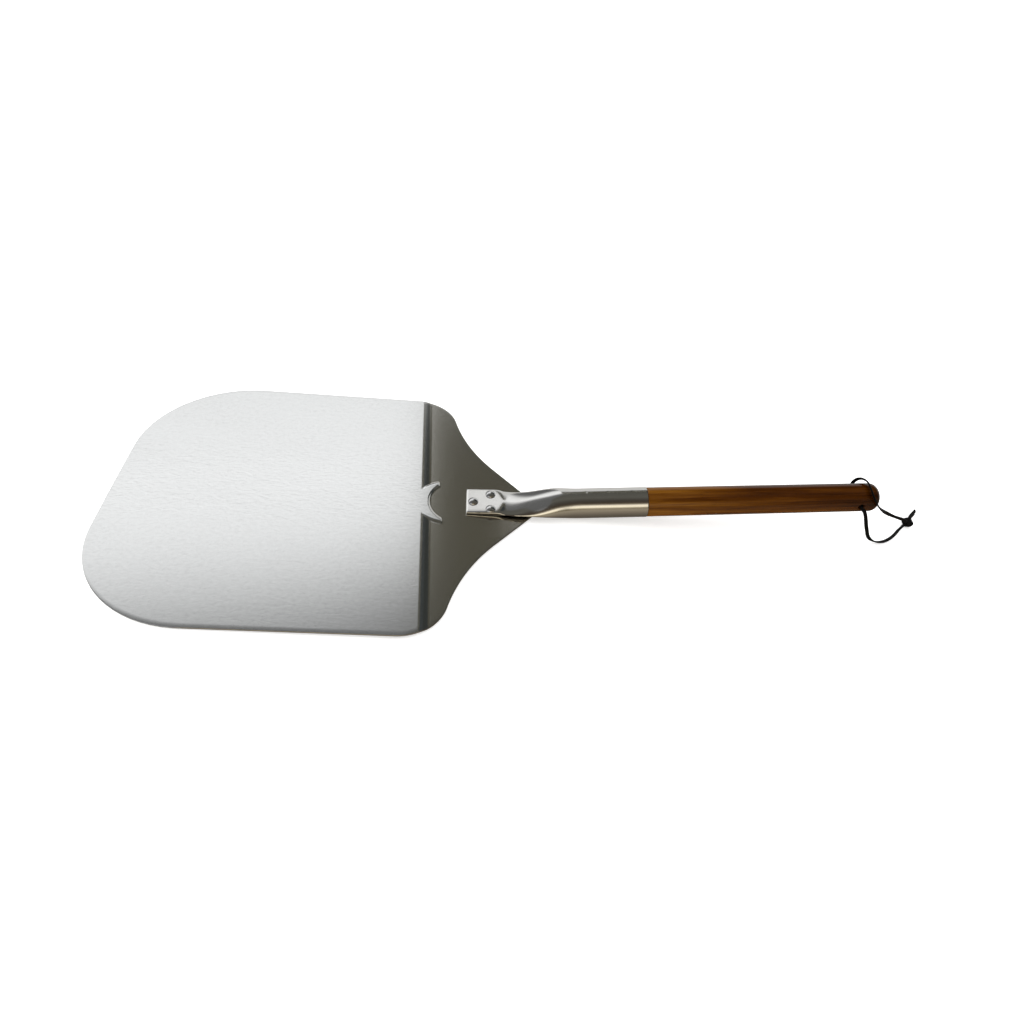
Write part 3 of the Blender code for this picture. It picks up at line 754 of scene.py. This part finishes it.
# =================================================================== materials
class Nodes:
    """Short hand for building a node tree."""

    def __init__(self, name):
        self.mat = bpy.data.materials.new(name)
        self.mat.use_nodes = True
        self.tree = self.mat.node_tree
        self.shader = self.tree.nodes["Principled BSDF"]
        self.coords = self.tree.nodes.new("ShaderNodeTexCoord").outputs["Object"]

    def link(self, a, b):
        self.tree.links.new(a, b)

    def mapping(self, scale, offset=(0, 0, 0)):
        node = self.tree.nodes.new("ShaderNodeMapping")
        node.inputs["Scale"].default_value = scale
        node.inputs["Location"].default_value = offset
        self.link(self.coords, node.inputs["Vector"])
        return node.outputs["Vector"]

    def noise(self, vector, scale=1.0, detail=4.0, rough=0.5, distort=0.0):
        node = self.tree.nodes.new("ShaderNodeTexNoise")
        node.inputs["Scale"].default_value = scale
        node.inputs["Detail"].default_value = detail
        node.inputs["Roughness"].default_value = rough
        node.inputs["Distortion"].default_value = distort
        self.link(vector, node.inputs["Vector"])
        return node.outputs["Fac"]

    def value(self, x):
        return x

    def math(self, op, a, b=None, clamp=False):
        node = self.tree.nodes.new("ShaderNodeMath")
        node.operation = op
        node.use_clamp = clamp
        for i, x in enumerate((a, b)):
            if x is None:
                continue
            if isinstance(x, (int, float)):
                node.inputs[i].default_value = x
            else:
                self.link(x, node.inputs[i])
        return node.outputs[0]

    def remap(self, x, a, b, c=0.0, d=1.0, smoothly=True):
        node = self.tree.nodes.new("ShaderNodeMapRange")
        node.interpolation_type = "SMOOTHSTEP" if smoothly else "LINEAR"
        for key, val in (("From Min", a), ("From Max", b), ("To Min", c), ("To Max", d)):
            node.inputs[key].default_value = val
        self.link(x, node.inputs["Value"])
        return node.outputs["Result"]

    def ramp(self, x, stops, mode="LINEAR"):
        node = self.tree.nodes.new("ShaderNodeValToRGB")
        node.color_ramp.interpolation = mode
        el = node.color_ramp.elements
        while len(el) < len(stops):
            el.new(0.5)
        for e, (p, c) in zip(el, stops):
            e.position = p
            e.color = (*c, 1.0)
        self.link(x, node.inputs["Fac"])
        return node.outputs["Color"]

    def mix(self, f, a, b, mode="MIX"):
        node = self.tree.nodes.new("ShaderNodeMix")
        node.data_type = "RGBA"
        node.blend_type = mode
        for key, x in ((0, f), (6, a), (7, b)):
            if isinstance(x, (int, float)):
                node.inputs[key].default_value = x
            elif isinstance(x, tuple):
                node.inputs[key].default_value = (*x, 1.0)
            else:
                self.link(x, node.inputs[key])
        return node.outputs[2]

    def split(self):
        node = self.tree.nodes.new("ShaderNodeSeparateXYZ")
        self.link(self.coords, node.inputs[0])
        return node.outputs

    def bump(self, height, distance, strength=1.0, normal=None):
        node = self.tree.nodes.new("ShaderNodeBump")
        node.inputs["Strength"].default_value = strength
        node.inputs["Distance"].default_value = distance
        self.link(height, node.inputs["Height"])
        if normal is not None:
            self.link(normal, node.inputs["Normal"])
        return node.outputs["Normal"]

    def set(self, **values):
        for key, val in values.items():
            socket = self.shader.inputs[key.replace("_", " ")]
            if isinstance(val, (int, float)):
                socket.default_value = val
            elif isinstance(val, tuple):
                socket.default_value = (*val, 1.0)
            else:
                self.link(val, socket)
        return self.mat


def sheet_material():
    """Rolled sheet: satin blade and crescent; smoother neck whose base colour is darkened and tinted olive as a
    painted dark reflection.
    """
    m = Nodes("rolled_aluminium")
    x, y, z = m.split()
    raised = m.remap(z, -0.00080, -0.00030)
    grain = m.noise(m.mapping((260, 1500, 900)), 1.0, 3.0, 0.6)
    speck = m.noise(m.mapping((1500, 1500, 900)), 1.0, 2.0, 0.5)
    waves = m.noise(m.mapping((75, 190, 100)), 1.0, 3.0, 0.6, 1.6)
    waves2 = m.noise(m.mapping((75, 190, 100), (0.03, 0.26, 0)), 1.0, 3.0, 0.6, 1.6)
    mottle = m.noise(m.mapping((240, 300, 300), (5, 2, 1)), 1.0, 4.0, 0.62, 0.6)
    # painted shading: the difference of two offset wave noises lightens and darkens the base colour as if light
    # fell across the waves, strongest in a band across the blade
    wave_shading_band = m.math("MULTIPLY", m.remap(y, -0.060, -0.005), m.remap(y, 0.085, 0.030))
    painted_wave_shading = m.math("MULTIPLY", m.math("SUBTRACT", waves, waves2),
                    m.remap(wave_shading_band, 0.0, 1.0, 0.12, 0.85, False))
    cloud = m.noise(m.mapping((9, 22, 10)), 1.0, 3.0, 0.5)
    tone = m.math("ADD", m.math("MULTIPLY", painted_wave_shading, 0.55),
                  m.math("ADD", m.math("MULTIPLY", m.math("SUBTRACT", grain, 0.5), 0.10),
                         m.math("ADD", m.math("MULTIPLY", m.math("SUBTRACT", speck, 0.5), 0.10),
                                m.math("ADD", m.math(
                                    "MULTIPLY", m.math("SUBTRACT", mottle, 0.5), 0.34),
                                       m.math("MULTIPLY", m.math("SUBTRACT", cloud, 0.5), 0.10)))))
    tone = m.math("ADD", m.math("MULTIPLY", tone, m.remap(raised, 0.0, 1.0, 0.15, 1.0, False)), 0.5,
                  clamp=True)
    satin = m.ramp(tone, [(0.0, (0.50, 0.50, 0.50)), (0.5, (0.80, 0.81, 0.81)),
                          (1.0, (0.97, 0.98, 0.98))])
    # painted reflection: the neck's base colour is darker and olive, standing in for the dark room its smooth
    # finish reflects
    neck_painted_dark_reflection = m.ramp(tone, [(0.0, (0.55, 0.54, 0.50)), (1.0, (0.75, 0.74, 0.70))])
    base = m.mix(raised, neck_painted_dark_reflection, satin)
    rough = m.math("ADD", m.remap(raised, 0.0, 1.0, 0.13, 0.155, False),
                   m.math("MULTIPLY", m.math("SUBTRACT", grain, 0.5), 0.05))
    normal = m.bump(waves, 0.00003, 0.5)
    return m.set(Base_Color=base, Roughness=rough, Metallic=1.0, Normal=normal)


def tube_material():
    """Drawn tube, polished, with faint draw lines along it."""
    m = Nodes("drawn_aluminium_tube")
    lines = m.noise(m.mapping((28, 1300, 1300)), 1.0, 3.0, 0.6)
    cloud = m.noise(m.mapping((60, 90, 90)), 1.0, 3.0, 0.5)
    base = m.ramp(m.math("ADD", m.math("MULTIPLY", lines, 0.6), m.math("MULTIPLY", cloud, 0.4)),
                  [(0.3, (0.74, 0.735, 0.715)), (0.7, (0.82, 0.815, 0.80))])
    rough = m.remap(lines, 0.3, 0.7, 0.10, 0.16, False)
    normal = m.bump(cloud, 0.00004, 0.4, m.bump(lines, 0.000004, 0.5))
    return m.set(Base_Color=base, Roughness=rough, Metallic=1.0, Normal=normal)


def rivet_material():
    m = Nodes("headed_aluminium_rivet")
    marks = m.noise(m.mapping((700, 700, 700)), 1.0, 3.0, 0.6)
    base = m.ramp(marks, [(0.3, (0.66, 0.66, 0.66)), (0.7, (0.80, 0.80, 0.80))])
    rough = m.remap(marks, 0.3, 0.7, 0.12, 0.22, False)
    return m.set(Base_Color=base, Roughness=rough, Metallic=1.0,
                 Normal=m.bump(marks, 0.00002, 0.4))


def wood_material():
    """Oiled hardwood.  Object Z runs along the handle."""
    m = Nodes("oiled_reddish_hardwood")
    x, y, z = m.split()
    broad = m.noise(m.mapping((70, 70, 5.5)), 1.0, 3.0, 0.55, 0.7)
    streak = m.noise(m.mapping((330, 330, 11)), 1.0, 4.0, 0.6, 0.4)
    fibre = m.noise(m.mapping((1500, 1500, 60)), 1.0, 3.0, 0.6)
    pores = m.noise(m.mapping((2300, 2300, 170), (3, 1, 2)), 1.0, 2.0, 0.5)
    figure = m.math("ADD", m.math("MULTIPLY", broad, 0.52),
                    m.math("ADD", m.math("MULTIPLY", streak, 0.34),
                           m.math("MULTIPLY", fibre, 0.14)))
    # the wood darkens towards the hanging end
    tint = m.math("ADD", figure, m.remap(z, 0.0, HANDLE_LENGTH, 0.075, -0.10, False))
    colour = m.ramp(tint, [(0.32, (0.017, 0.0036, 0.0001)), (0.44, (0.046, 0.0120, 0.0003)),
                           (0.53, (0.082, 0.0250, 0.0006)), (0.66, (0.165, 0.062, 0.004))])
    pore = m.remap(pores, 0.66, 0.74)
    colour = m.mix(m.math("MULTIPLY", pore, 0.55), colour, (0.006, 0.002, 0.0005))
    end = m.remap(z, HANDLE_LENGTH - 0.016, HANDLE_LENGTH - 0.001)
    colour = m.mix(m.math("MULTIPLY", end, 0.60), colour, (0.005, 0.0016, 0.0004))
    rough = m.remap(streak, 0.3, 0.7, 0.13, 0.21, False)
    height = m.math("SUBTRACT", m.math("MULTIPLY", streak, 0.6), m.math("MULTIPLY", pore, 0.7))
    return m.set(Base_Color=colour, Roughness=rough,
                 Normal=m.bump(height, 0.00007, 0.4), IOR=1.36)


def lace_material():
    """Black leather lace: tight grain, patchy tone."""
    m = Nodes("black_leather_lace")
    grain = m.noise(m.mapping((1800, 1800, 1800)), 1.0, 3.0, 0.6)
    patch = m.noise(m.mapping((220, 220, 220)), 1.0, 3.0, 0.5)
    base = m.ramp(m.math("ADD", m.math("MULTIPLY", grain, 0.5), m.math("MULTIPLY", patch, 0.5)),
                  [(0.3, (0.0012, 0.0012, 0.0013)), (0.7, (0.0048, 0.0046, 0.0047))])
    rough = m.remap(patch, 0.3, 0.7, 0.50, 0.68, False)
    m.shader.inputs["Specular IOR Level"].default_value = 0.12
    return m.set(Base_Color=base, Roughness=rough, Normal=m.bump(grain, 0.00012, 0.6))


sheet_mat, tube_mat, rivet_mat = sheet_material(), tube_material(), rivet_material()
wood_mat, lace_mat = wood_material(), lace_material()
for ob, mat in [(blade, sheet_mat), (tube, tube_mat), (handle, wood_mat), (near, lace_mat),
                (far, lace_mat), (knot, lace_mat)] + [(t, lace_mat) for t in tails] + [
                (r, rivet_mat) for r in rivets.values()]:
    ob.data.materials.clear()
    ob.data.materials.append(mat)

# =================================================== pieces, bodies, CAD nodes
ALL = [(blade, "blade", "blade_sheet"), (tube, "socket_tube", "tube_metal"),
       (handle, "wooden_handle", "handle_wood"),
       (near, "thong_near_strand", "lace"), (far, "thong_far_strand", "lace"),
       (knot, "thong_knot", "lace"), (tails[0], "thong_tail_upper", "lace"),
       (tails[1], "thong_tail_lower", "lace")]
ALL += [(rivets[n], n, "rivet_metal") for n in RIVET_SPOTS]
for piece, node, slot in ALL:
    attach(piece, "root")
    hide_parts(node)


# ============================================================ floor and lights
def floor():
    bm = bmesh.new()
    bmesh.ops.create_grid(bm, x_segments=1, y_segments=1, size=12.0)
    ob = add_piece("studio_floor", mesh_from(bm, "studio_floor", recalc=False))
    m = Nodes("matt_white_floor")
    haze = m.noise(m.mapping((3, 3, 3)), 1.0, 2.0, 0.5)
    m.set(Base_Color=m.ramp(haze, [(0.3, (0.90, 0.90, 0.90)), (0.7, (0.91, 0.91, 0.91))]),
          Roughness=0.9)
    m.shader.inputs["Specular IOR Level"].default_value = 0.1
    m.shader.inputs["Emission Color"].default_value = (1.0, 1.0, 1.0, 1.0)
    m.shader.inputs["Emission Strength"].default_value = 0.48
    ob.data.materials.append(m.mat)
    ob.visible_glossy = False


def soft_sun(name, towards, strength):
    """Even light from one side of the tent; it shows in no reflection."""
    lamp = bpy.data.lights.new(name, "SUN")
    lamp.energy = strength
    lamp.angle = math.radians(60)
    ob = bpy.data.objects.new(name, lamp)
    bpy.context.scene.collection.objects.link(ob)
    ob.rotation_euler = Vector(towards).to_track_quat("Z", "Y").to_euler()
    ob.visible_glossy = False


def studio():
    """A light tent: a wide bright panel behind and to the left, a darker ceiling,
    a low warm panel in front."""
    world = bpy.data.worlds.new("light_tent")
    world.use_nodes = True
    bpy.context.scene.world = world
    m = Nodes.__new__(Nodes)
    m.tree = world.node_tree
    m.coords = m.tree.nodes.new("ShaderNodeTexCoord").outputs["Generated"]
    x, y, z = m.split()
    angle = m.math("ARCTAN2", z, y)          # 0 behind, pi/2 above, pi in front
    turned = m.math("FRACT", m.math("ADD", m.math("DIVIDE", angle, 2 * math.pi), 1.25))

    def stops(rows):
        return [((a + 90.0) / 360.0, c) for a, c in rows]

    right = m.ramp(turned, stops([
        (-90, (0.10, 0.085, 0.065)), (-40, (0.30, 0.28, 0.25)), (-8, (0.66, 0.65, 0.63)),
        (28, (0.70, 0.70, 0.69)), (34, (0.34, 0.34, 0.33)), (38, (0.105, 0.100, 0.082)),
        (46, (0.100, 0.0935, 0.070)), (60, (0.095, 0.093, 0.080)), (96, (0.115, 0.110, 0.095)),
        (118, (0.066, 0.058, 0.048)), (134, (0.060, 0.046, 0.034)), (142, (0.11, 0.09, 0.06)),
        (150, (0.40, 0.34, 0.26)), (156, (1.15, 1.02, 0.80)), (168, (1.25, 1.12, 0.85)),
        (174, (0.55, 0.47, 0.32)), (180, (0.29, 0.24, 0.165)), (192, (0.34, 0.29, 0.21)),
        (215, (0.24, 0.20, 0.15)), (240, (0.15, 0.125, 0.095)), (270, (0.10, 0.085, 0.065))]))
    near_edge = m.math("MAXIMUM", m.math("ADD", x, 0.17), 0.0)
    shift = m.math("ADD", m.math("MULTIPLY", m.math("ADD", x, 0.19), 0.155),
                   m.math("MULTIPLY", near_edge, 0.18))
    shifted = m.math("FRACT", m.math("ADD", m.math(
        "DIVIDE", m.math("ADD", angle, shift), 2 * math.pi), 1.25))
    left = m.ramp(shifted, stops([(a, (v * 0.998, v, v)) for a, v in (
        (-90, 0.20), (-20, 0.16), (0, 0.12), (14, 0.14), (20, 0.35), (27, 0.86),
        (33, 0.98), (38, 1.00), (43, 1.08), (46, 1.06), (48.3, 0.97), (50.2, 0.84), (51.9, 0.68), (52.8, 0.60),
        (53.9, 0.46), (54.9, 0.37), (56, 0.28), (57.4, 0.20), (59, 0.17), (68, 0.14),
        (110, 0.13), (124, 0.26), (140, 0.56), (172, 0.62), (184, 0.45), (205, 0.30),
        (270, 0.20))]))
    # above, the dark side reaches further left
    over = m.math("MULTIPLY", m.remap(turned, 0.422, 0.478), 0.34)
    side = m.remap(m.math("ADD", x, over), -0.036, -0.020)
    sky = m.mix(side, left, right)
    # the low window in front ends on the far right
    ended = m.math("MULTIPLY", m.remap(angle, 2.55, 2.65), m.remap(x, 0.19, 0.27))
    sky = m.mix(m.math("MULTIPLY", ended, 0.85), sky, (0.060, 0.044, 0.026))
    # a deeper strip beyond the dark side's edge, and a slim seam in it
    upper = m.math("MULTIPLY", m.remap(angle, 0.52, 0.58), m.remap(angle, 1.16, 1.08))
    strip = m.math("MULTIPLY", upper, m.remap(x, 0.125, 0.155))
    sky = m.mix(m.math("MULTIPLY", strip, 0.85), sky, (0.036, 0.042, 0.045))
    # a pale patch low in it, and the thin dark edge of a panel
    low = m.math("MULTIPLY", m.remap(angle, 0.793, 0.797), m.remap(angle, 0.815, 0.811))
    patch = m.math("MULTIPLY", low, m.math("MULTIPLY", m.remap(x, 0.0965, 0.0995),
                                           m.remap(x, 0.134, 0.126)))
    sky = m.mix(patch, sky, (0.78, 0.75, 0.73))
    seam = m.math("MULTIPLY", m.math("MULTIPLY", m.remap(x, 0.0225, 0.0265),
                                     m.remap(x, 0.0345, 0.0305)),
                  m.math("MULTIPLY", m.remap(angle, 0.60, 0.64), m.remap(angle, 0.84, 0.80)))
    sky = m.mix(m.math("MULTIPLY", seam, 0.30), sky, (0.030, 0.027, 0.015))
    back = m.tree.nodes["Background"]
    m.link(sky, back.inputs["Color"])
    back.inputs["Strength"].default_value = 1.0
    soft_sun("from_above", (0.0, 0.0, 1.0), 1.3)
    soft_sun("from_behind", (-0.5, 0.7, 1.0), 1.3)
    soft_sun("from_the_front", (0.6, -0.6, 1.0), 1.1)


floor()
studio()
bpy.context.scene.view_settings.view_transform = "Standard"
bpy.context.scene.view_settings.look = "None"

bpy.context.view_layer.update()
